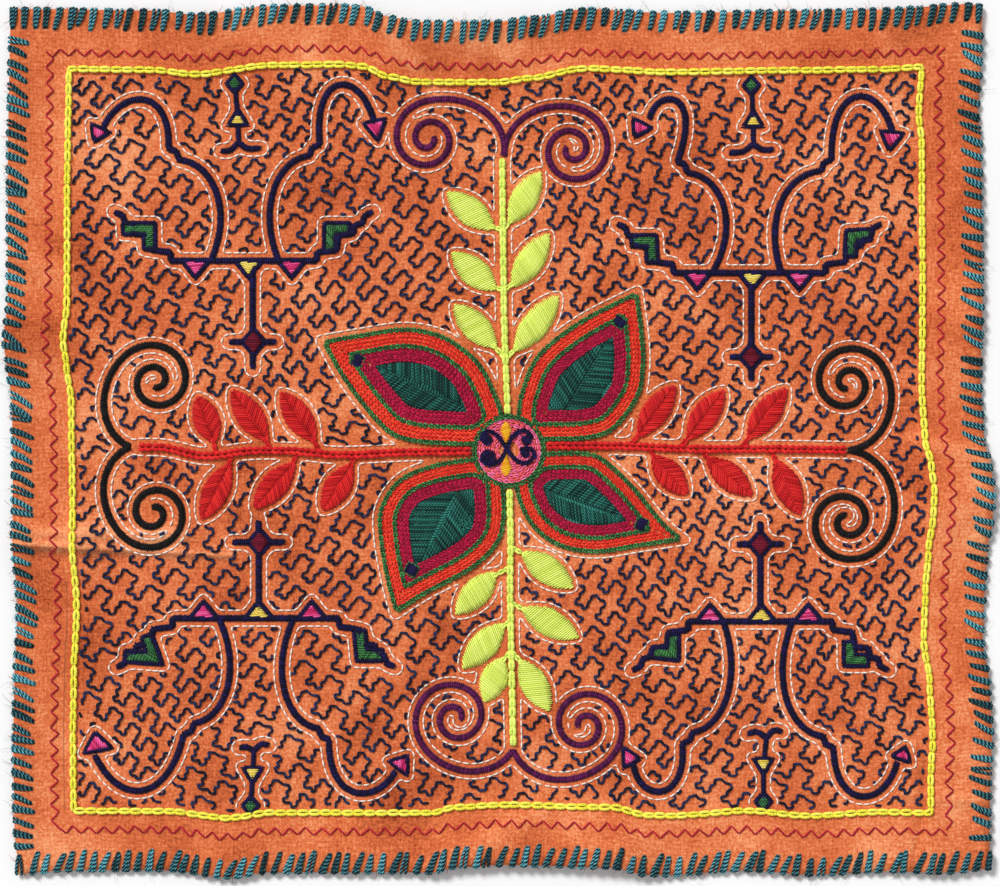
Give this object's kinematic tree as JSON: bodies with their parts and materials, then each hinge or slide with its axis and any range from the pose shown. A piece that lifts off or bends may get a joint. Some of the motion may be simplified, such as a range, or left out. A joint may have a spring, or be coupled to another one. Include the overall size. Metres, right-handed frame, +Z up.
{
  "type": "embroidered cloth",
  "caption": "Flat orange cotton cloth with a four-petal flower, leafy sprigs, scrolls and hooked figures in raised yarn stitching, its edges overcast in teal yarn.",
  "frame": {"origin": "under the middle of the cloth, on the surface that it lies on", "axes": "+X along the longer edges to the right, +Y to the top edge, +Z up out of the stitched face"},
  "size_m": [0.4963, 0.4383, 0.0097],
  "materials": {
    "cotton": "orange plain-weave cotton, dry and a little felted",
    "teal_yarn": "thick plied yarn, dark teal, matt",
    "yellow_yarn": "soft yarn, matt",
    "lime_yarn": "soft yarn, matt",
    "red_yarn": "soft yarn, matt",
    "scarlet_yarn": "soft yarn, matt",
    "crimson_yarn": "soft yarn, matt",
    "pink_yarn": "soft yarn, matt",
    "purple_yarn": "soft yarn, matt",
    "black_yarn": "soft yarn, matt",
    "navy_yarn": "soft yarn, matt",
    "green_yarn": "soft yarn, matt",
    "white_yarn": "soft yarn, matt"
  },
  "bodies": {
    "root": {"cloth": "cotton", "edging_top": "teal_yarn", "edging_bottom": "teal_yarn", "edging_left": "teal_yarn", "edging_right": "teal_yarn", "frame_line": "yellow_yarn", "petal_1": "scarlet_yarn", "petal_2": "scarlet_yarn", "petal_3": "scarlet_yarn", "petal_4": "scarlet_yarn", "eye": "pink_yarn", "stem_top": "lime_yarn", "leaf_top_1": "lime_yarn", "leaf_top_2": "lime_yarn", "leaf_top_3": "lime_yarn", "leaf_top_4": "lime_yarn", "leaf_top_5": "lime_yarn", "leaf_top_6": "lime_yarn", "stem_bottom": "lime_yarn", "leaf_bottom_1": "lime_yarn", "leaf_bottom_2": "lime_yarn", "leaf_bottom_3": "lime_yarn", "leaf_bottom_4": "lime_yarn", "leaf_bottom_5": "lime_yarn", "leaf_bottom_6": "lime_yarn", "stem_left": "red_yarn", "leaf_left_1": "red_yarn", "leaf_left_2": "red_yarn", "leaf_left_3": "red_yarn", "leaf_left_4": "red_yarn", "leaf_left_5": "red_yarn", "leaf_left_6": "red_yarn", "stem_right": "red_yarn", "leaf_right_1": "red_yarn", "leaf_right_2": "red_yarn", "leaf_right_3": "red_yarn", "leaf_right_4": "red_yarn", "leaf_right_5": "red_yarn", "leaf_right_6": "red_yarn", "scroll_top": "purple_yarn", "scroll_bottom": "purple_yarn", "scroll_left": "black_yarn", "scroll_right": "black_yarn", "figure_1": "navy_yarn", "figure_2": "navy_yarn", "figure_3": "navy_yarn", "figure_4": "navy_yarn"}
  },
  "joints": []
}
